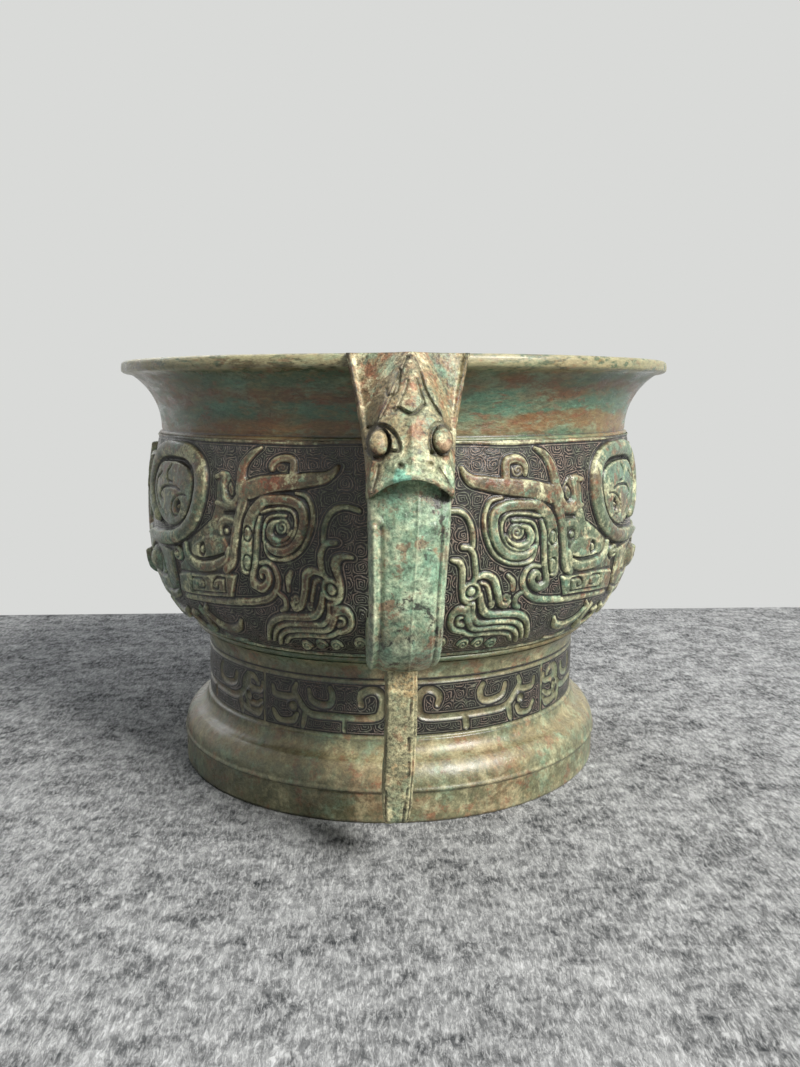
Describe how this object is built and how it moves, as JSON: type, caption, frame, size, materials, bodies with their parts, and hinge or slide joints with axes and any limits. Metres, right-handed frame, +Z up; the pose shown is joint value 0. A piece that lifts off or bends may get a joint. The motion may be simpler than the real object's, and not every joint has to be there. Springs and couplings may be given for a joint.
{
  "type": "ritual food vessel",
  "caption": "Round bronze food bowl with a flared rim, a tall ring foot and two loop handles that end in beast heads and carry hanging pendants.",
  "frame": {"origin": "centre of the foot's resting plane, on the vessel's axis", "axes": "+Z up along the vessel's axis; the two handles stand at -Y and +Y; the two animal masks of the belly face +X and -X"},
  "size_m": [0.2, 0.2608, 0.1475],
  "materials": {
    "bronze_body": "green and brown patina over cast bronze, dark in the recesses",
    "bronze_foot": "green and brown patina over cast bronze",
    "bronze_chaplet": "patinated bronze, slightly browner than the floor",
    "bronze_handle": "mint green patina with rust freckles",
    "bronze_head": "pale cream and green patina with brown patches",
    "bronze_pendant": "pale granular patina",
    "fired_clay": "burnt clay"
  },
  "bodies": {
    "root": {"beast_head_back": "bronze_head", "beast_head_front": "bronze_head", "bowl": "bronze_body", "floor_chaplets": "bronze_chaplet", "handle_back": "bronze_handle", "handle_core_back": "fired_clay", "handle_core_front": "fired_clay", "handle_front": "bronze_handle", "pendant_back": "bronze_pendant", "pendant_front": "bronze_pendant", "ring_foot": "bronze_foot"}
  },
  "joints": []
}
